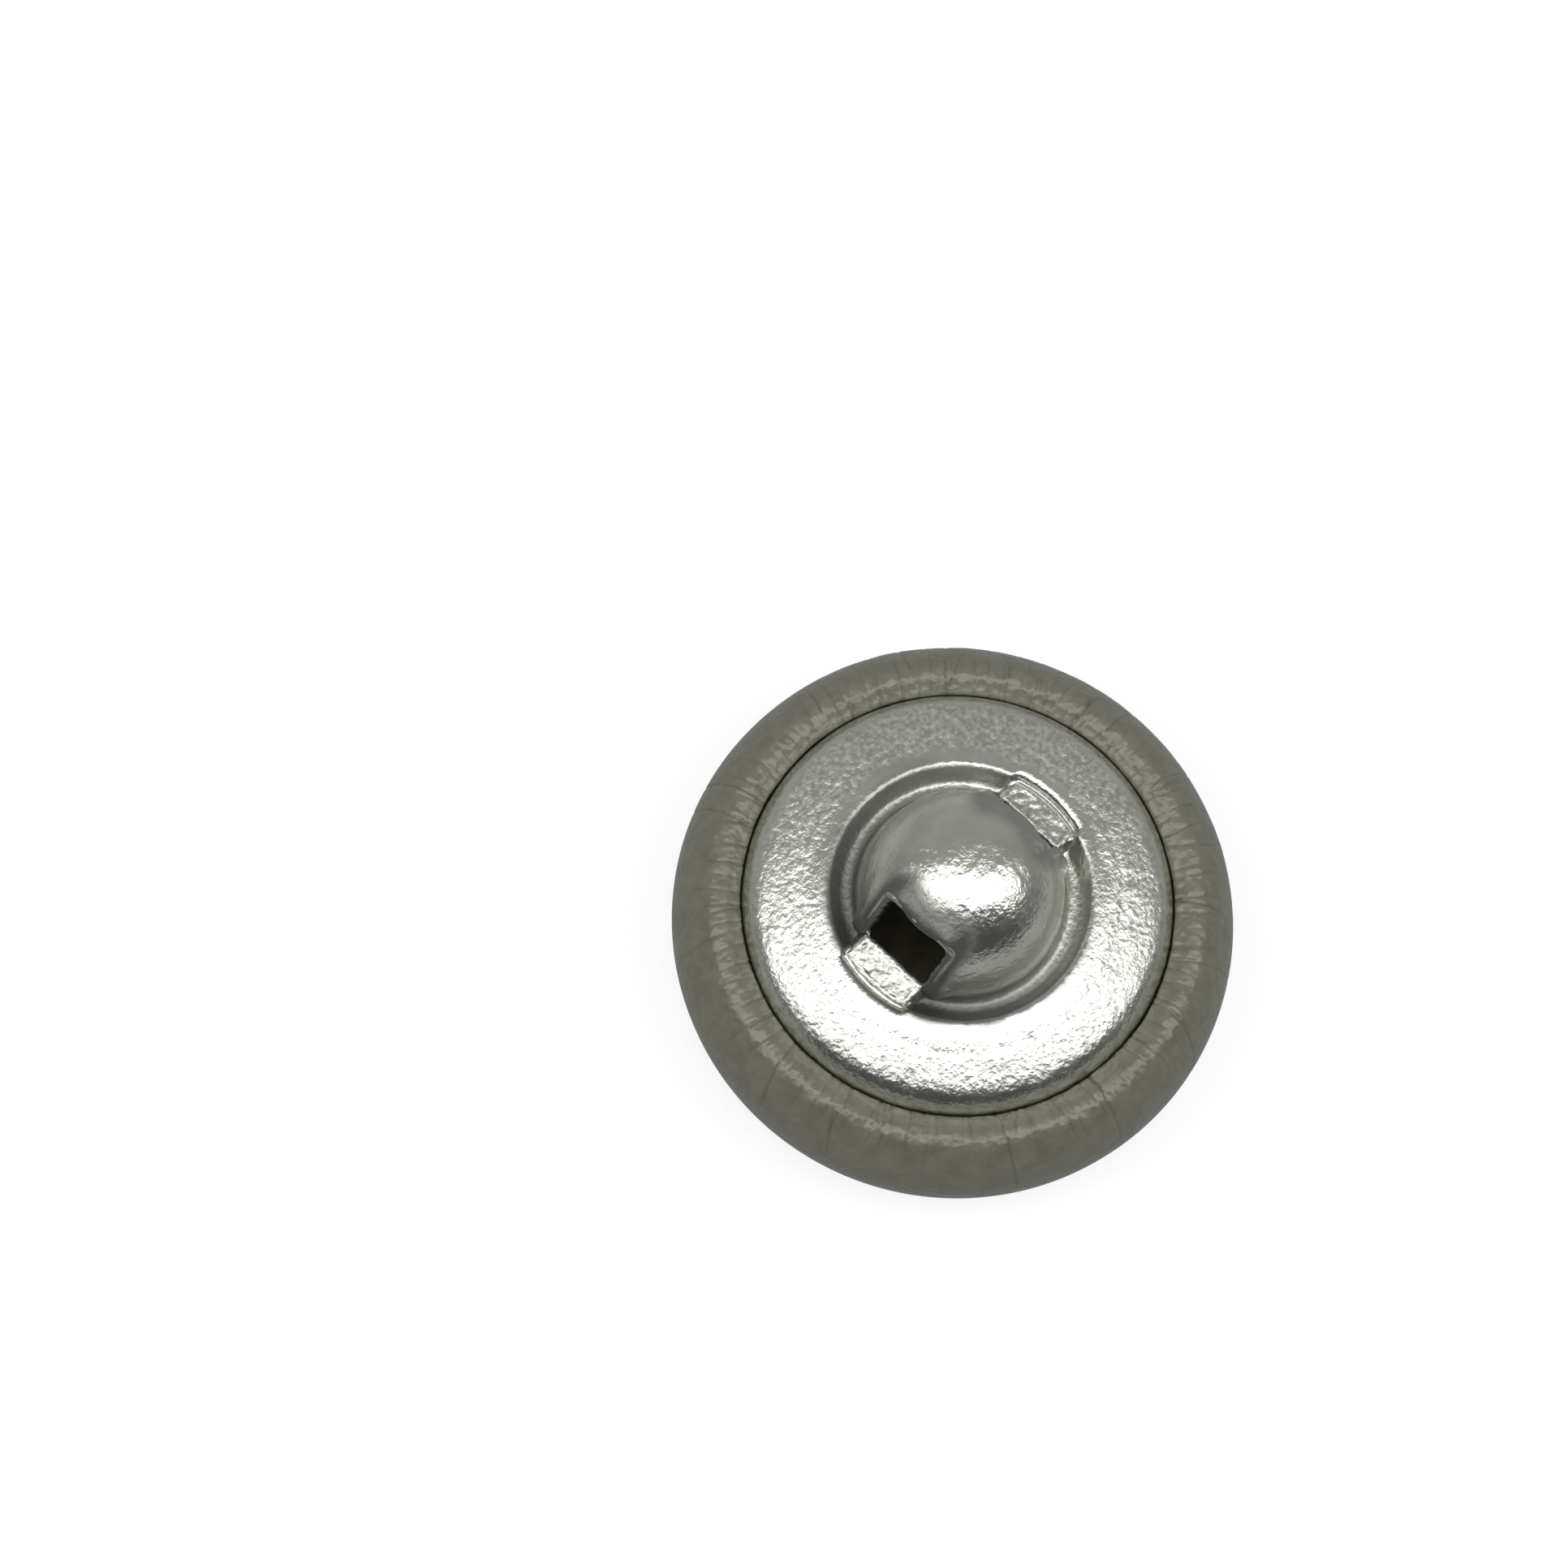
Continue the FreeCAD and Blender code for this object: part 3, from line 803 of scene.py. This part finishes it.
# %% Joining the plate
bpy.context.view_layer.objects.active = pressed_sheet
for shown in bpy.context.scene.objects:
    shown.select_set(shown in (pressed_sheet, *lips, *pads))
bpy.ops.object.modifier_apply(modifier=thickness.name)
bpy.ops.object.join()
for shown in bpy.context.scene.objects:
    shown.select_set(False)
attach(pressed_sheet, "root")
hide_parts("back_plate")
plate_triangles = sum(len(face.vertices) - 2 for face in pressed_sheet.data.polygons)
print("plate has", plate_triangles, "triangles")

# %% [markdown]
# Materials are built from nodes. One helper makes a node, sets its inputs by
# name and wires it. The others are for the nodes that come up again and again:
# noise, a stored number, a number spread over a range, a colour ramp and a mix.

# %% Helpers for node recipes
def new_finish(name):
    """A material with a Principled shader; returns the material, its nodes and the shader."""
    material = bpy.data.materials.new(name)
    material.use_nodes = True
    return material, material.node_tree, material.node_tree.nodes["Principled BSDF"]


def node(tree, kind, settings=(), inputs=(), wires=()):
    """A node with settings, input values, and wires from other nodes' outputs."""
    made = tree.nodes.new(kind)
    for name, value in dict(settings).items():
        setattr(made, name, value)
    for name, value in dict(inputs).items():
        made.inputs[name].default_value = value
    for name, source in dict(wires).items():
        tree.links.new(source, made.inputs[name])
    return made


def object_place(tree):
    """The object's own coordinates, in metres."""
    return node(tree, "ShaderNodeTexCoord").outputs["Object"]


def noise(tree, place, scale, detail):
    """Cloudy noise, from 0 to 1; scale is in waves for each metre."""
    made = node(tree, "ShaderNodeTexNoise", inputs={"Scale": scale, "Detail": detail},
                wires={"Vector": place})
    return made.outputs["Fac"]


def stored(tree, name):
    """The number that keep_values stored at each vertex under this name."""
    return node(tree, "ShaderNodeAttribute", {"attribute_name": name}).outputs["Fac"]


def spread_over(tree, value, result, source=(0.0, 1.0)):
    """The value, stretched from the source range to the result range."""
    ends = dict(zip(("From Min", "From Max", "To Min", "To Max"), (*source, *result)))
    return node(tree, "ShaderNodeMapRange", inputs=ends, wires={"Value": value}).outputs["Result"]


def shade(level):
    """A colour written as it looks on screen, from 0 to 255, as linear light."""
    values = np.array(level, float) / 255
    linear = np.where(values <= 0.04045, values / 12.92, ((values + 0.055) / 1.055) ** 2.4)
    return (*linear.tolist(), 1.0)


def ramp(tree, value, first, last, span=(0.0, 1.0)):
    """A colour that goes from first to last while the value crosses the span."""
    made = node(tree, "ShaderNodeValToRGB", wires={"Fac": value})
    for element, place, level in zip(made.color_ramp.elements, span, (first, last)):
        element.position = place
        element.color = shade(level)
    return made.outputs["Color"]


def mixed(tree, share, first, last):
    """A mix of two colours; each is a wire, or three levels from 0 to 255."""
    made = node(tree, "ShaderNodeMix", {"data_type": "RGBA"}, wires={0: share})
    for socket, colour in ((made.inputs[6], first), (made.inputs[7], last)):
        if isinstance(colour, tuple):
            socket.default_value = shade(colour)
        else:
            tree.links.new(colour, socket)
    return made.outputs[2]


# %% [markdown]
# The leather is smooth, thin and coated in olive grey. Its grain is a fine net of pebbles with pores in it.
# In the creases the coat is painted darker: painted shade. The gloss comes from the shader's roughness. It
# varies in soft patches, because handling polishes some places more than others.

# %% Coated leather
leather_finish, tree, shader = new_finish("coated_leather")
place = object_place(tree)
patches = noise(tree, place, scale=1300.0, detail=6.0)
coat = ramp(tree, patches, (107, 107, 94), (121, 121, 107), span=(0.3, 0.7))
# painted shade: the coat is mixed towards dark brown in the creases, the deeper the darker
crease_shade = spread_over(tree, stored(tree, "crease"), result=(0.0, 0.55), source=(0.008, 0.06))
tree.links.new(mixed(tree, crease_shade, coat, (58, 56, 46)), shader.inputs["Base Color"])
tree.links.new(spread_over(tree, patches, (0.23, 0.34)), shader.inputs["Roughness"])
shader.inputs["Specular Tint"].default_value = (1.0, 0.98, 0.86, 1)
shader.inputs["Specular IOR Level"].default_value = 0.62

pebbles = node(tree, "ShaderNodeTexVoronoi", inputs={"Scale": 2600.0}, wires={"Vector": place})
grain = node(tree, "ShaderNodeBump", inputs={"Strength": 0.7, "Distance": 0.00007},
             wires={"Height": pebbles.outputs["Distance"]})
fine_noise = noise(tree, place, scale=5200.0, detail=3.0)
pores = node(tree, "ShaderNodeBump", inputs={"Strength": 0.5, "Distance": 0.00004},
             wires={"Height": fine_noise, "Normal": grain.outputs["Normal"]})
tree.links.new(pores.outputs["Normal"], shader.inputs["Normal"])
leather.data.materials.append(leather_finish)
print(leather_finish.name, "has", len(tree.nodes), "nodes")

# %% [markdown]
# The plate is bright aluminium. The press has left the cone frosted, with a sparkle of fine chips, while
# the crest and the dome were drawn smooth. In the moat and round the slots the metal is duller and a little
# less metallic, and its colour is painted darker: painted shade. The two attributes that were stored with
# the mesh say where.

# %% Pressed aluminium
plate_finish, tree, shader = new_finish("pressed_aluminium")
place = object_place(tree)
frosted, hollow = stored(tree, "frost"), stored(tree, "recess")
chips = noise(tree, place, scale=4600.0, detail=4.0)
clouds = noise(tree, place, scale=700.0, detail=4.0)
smooth_metal = ramp(tree, clouds, (205, 205, 196), (226, 227, 220), span=(0.3, 0.7))
chip_share = spread_over(tree, chips, result=(0.0, 1.0), source=(0.4, 0.72))
sparkle = mixed(tree, chip_share, (198, 198, 189), (252, 252, 248))
sheet_colour = mixed(tree, frosted, smooth_metal, sparkle)
# painted shade: the base colour goes towards dark grey where the recess value is high
painted_shade_share = spread_over(tree, hollow, (0.0, 0.9))
tree.links.new(mixed(tree, painted_shade_share, sheet_colour, (84, 86, 83)), shader.inputs["Base Color"])
tree.links.new(spread_over(tree, hollow, (1.0, 0.75)), shader.inputs["Metallic"])

blurred = node(tree, "ShaderNodeMath", {"operation": "MULTIPLY_ADD"}, inputs={1: 0.24},
               wires={0: hollow, 2: spread_over(tree, frosted, (0.22, 0.31))})
tree.links.new(blurred.outputs[0], shader.inputs["Roughness"])
peel = node(tree, "ShaderNodeBump", inputs={"Distance": 0.0001},
            wires={"Strength": spread_over(tree, frosted, (0.36, 0.62)), "Height": chips})
tree.links.new(peel.outputs["Normal"], shader.inputs["Normal"])
pressed_sheet.data.materials.clear()
pressed_sheet.data.materials.append(plate_finish)
print(plate_finish.name, "has", len(tree.nodes), "nodes")

# %% [markdown]
# The cap is hidden under the leather. Only a dark glimpse of it shows through the slots, so it gets plain,
# dull pressed metal on its own imported mesh. Its colour is kept dark as painted shade for the inside of
# the slots.

# %% The hidden cap
cap_finish, tree, shader = new_finish("plain_pressed_cap")
cap_mottle = noise(tree, object_place(tree), scale=900.0, detail=5.0)
# painted shade: the cap's metal is given a dark colour, mottled by noise
shaded_cap_metal = ramp(tree, cap_mottle, (62, 60, 50), (120, 116, 98))
tree.links.new(shaded_cap_metal, shader.inputs["Base Color"])
shader.inputs["Metallic"].default_value = 1.0
shader.inputs["Roughness"].default_value = 0.42
cap = frame["nodes"]["front_shell"]
cap.data.materials.clear()
cap.data.materials.append(cap_finish)
print(cap_finish.name, "is on", cap.name)

# %% [markdown]
# The button lies on a white floor. The floor glows for the camera, so the ground
# is white while the soft shadow stays. In mirror images it glows less: with a
# full glow, the dark flank of the dome would go pale.

# %% The floor
FLOOR_SIZE, FLOOR_DROP = 3000.0, 0.01
FLOOR_GREY, CAMERA_GLOW, MIRROR_GLOW = 0.3, 0.78, 0.16

corners = np.array([(-1.0, -1.0, 0), (1, -1, 0), (1, 1, 0), (-1, 1, 0)]) * FLOOR_SIZE / 2
floor = piece("floor", corners - (0, 0, FLOOR_DROP), [np.array([[0, 1, 2, 3]])])
floor_finish, tree, shader = new_finish("white_ground")
shader.inputs["Base Color"].default_value = (FLOOR_GREY, FLOOR_GREY, FLOOR_GREY, 1)
shader.inputs["Roughness"].default_value = 0.9
shader.inputs["Emission Color"].default_value = (1, 1, 1, 1)
rays = node(tree, "ShaderNodeLightPath").outputs
mirrored = node(tree, "ShaderNodeMath", {"operation": "MAXIMUM"},
                wires={0: rays["Is Glossy Ray"], 1: rays["Is Transmission Ray"]})
mirror_glow = node(tree, "ShaderNodeMath", {"operation": "MULTIPLY"}, inputs={1: MIRROR_GLOW},
                   wires={0: mirrored.outputs[0]})
glow = node(tree, "ShaderNodeMath", {"operation": "MULTIPLY_ADD"}, inputs={1: CAMERA_GLOW},
            wires={0: rays["Is Camera Ray"], 2: mirror_glow.outputs[0]})
tree.links.new(glow.outputs[0], shader.inputs["Emission Strength"])
floor.data.materials.append(floor_finish)
print("the floor is", FLOOR_SIZE * MM, "m wide")

# %% [markdown]
# The camera looks down on the button from 15 cm, about 15 degrees off its axis.
# Three facts place it: where the button's middle falls in the picture, which way
# the shank leans in the picture, and which way the thread's axis runs. Axes that
# follow the picture at the button's middle are written once in the camera's own
# axes and once in the button's, and the two give the camera's turn.

# %% The camera's place and turn
IMAGE, FOCAL, DISTANCE = 1932.0, 4485.0, 149.4
MIDDLE_IN_PICTURE = (1173.6, 1132.6)
LEAN, LEAN_WAY, THREAD_WAY = math.radians(14.8), (0.30, 0.954), math.radians(45.5)


def unit(vector):
    """The vector, shortened or stretched to a length of 1."""
    return vector / np.linalg.norm(vector)


across, down = MIDDLE_IN_PICTURE
toward = -unit(np.array((across - IMAGE / 2, IMAGE / 2 - down, -FOCAL)))
across_picture = unit(np.array((1.0, 0, 0)) - toward[0] * toward)
picture_axes = np.column_stack((across_picture, np.cross(toward, across_picture), toward))

button_z = np.array((*(math.sin(LEAN) * unit(np.array(LEAN_WAY))), math.cos(LEAN)))
flat_x = np.array((math.cos(THREAD_WAY), math.sin(THREAD_WAY), 0.0))
button_x = unit(np.array((*flat_x[:2], -(flat_x @ button_z) / button_z[2])))
button_axes = np.column_stack((button_x, np.cross(button_z, button_x), button_z))
camera_turn = button_axes.T @ picture_axes.T
camera_place = np.array((0, 0, equator)) + camera_turn @ toward * DISTANCE
print("camera at", camera_place.round(1), "mm")

# %% The camera
SENSOR = 36.0


def placed(name, data, turn, place):
    """An object with this data in the scene; turn is a 3 by 3 matrix and place is in millimetres."""
    made = bpy.data.objects.new(name, data)
    bpy.context.scene.collection.objects.link(made)
    matrix = np.eye(4)
    matrix[:3, :3] = turn
    matrix[:3, 3] = place * MM
    made.matrix_world = Matrix(matrix.tolist())
    return made


camera_data = bpy.data.cameras.new("camera")
camera_data.sensor_width = SENSOR
camera_data.lens = FOCAL / IMAGE * SENSOR
camera_data.clip_start = 0.005
bpy.context.scene.camera = placed("camera", camera_data, camera_turn, camera_place)
print("lens", round(camera_data.lens, 1), "mm")

# %% [markdown]
# One long soft box hangs overhead, across the picture, a little towards the
# camera and to the left. Metal shows it as the bright band on the cone and the
# dome.

# %% The soft box
BOX_HEIGHT, BOX_FORWARD, BOX_LEFT = 300.0, 58.0, 45.0
BOX_LENGTH, BOX_WIDTH, BOX_LEVEL = 800.0, 190.0, 2.6

right_flat = unit(camera_turn @ np.array((1.0, 0, 0)) * (1, 1, 0))
back_flat = unit(camera_turn @ np.array((0, 1.0, 0)) * (1, 1, 0))
upright = np.array((0, 0, 1.0))
box_data = bpy.data.lights.new("overhead_soft_box", "AREA")
box_data.shape = "RECTANGLE"
box_data.size, box_data.size_y = BOX_LENGTH * MM, BOX_WIDTH * MM
box_data.energy = BOX_LEVEL * math.pi * box_data.size * box_data.size_y
box_turn = np.column_stack((right_flat, np.cross(upright, right_flat), upright))
box_place = upright * BOX_HEIGHT - back_flat * BOX_FORWARD - right_flat * BOX_LEFT
placed("overhead_soft_box", box_data, box_turn, box_place)
print("soft box of", round(box_data.energy, 2), "W")

# %% [markdown]
# The room is a plain grey that gets lighter from the camera's side to the back.
# The steep parts of the metal show it, so they are dark towards the camera.

# %% The room
ROOM_SPAN, ROOM_LEVEL = (-0.7, 0.6), (0.07, 0.36)

world = bpy.data.worlds.new("room")
bpy.context.scene.world = world
world.use_nodes = True
tree = world.node_tree
way = node(tree, "ShaderNodeTexCoord").outputs["Generated"]
toward_back = node(tree, "ShaderNodeVectorMath", {"operation": "DOT_PRODUCT"}, inputs={1: tuple(back_flat)},
                   wires={0: way})
grey = spread_over(tree, toward_back.outputs["Value"], result=ROOM_LEVEL, source=ROOM_SPAN)
tree.links.new(grey, tree.nodes["Background"].inputs["Strength"])
tree.nodes["Background"].inputs["Color"].default_value = (1.0, 1.0, 0.98, 1)
print("the room's level goes from", ROOM_LEVEL[0], "to", ROOM_LEVEL[1])

# %% [markdown]
# The picture is shown without a film look.

# %% Finish
bpy.context.scene.view_settings.view_transform = "Standard"
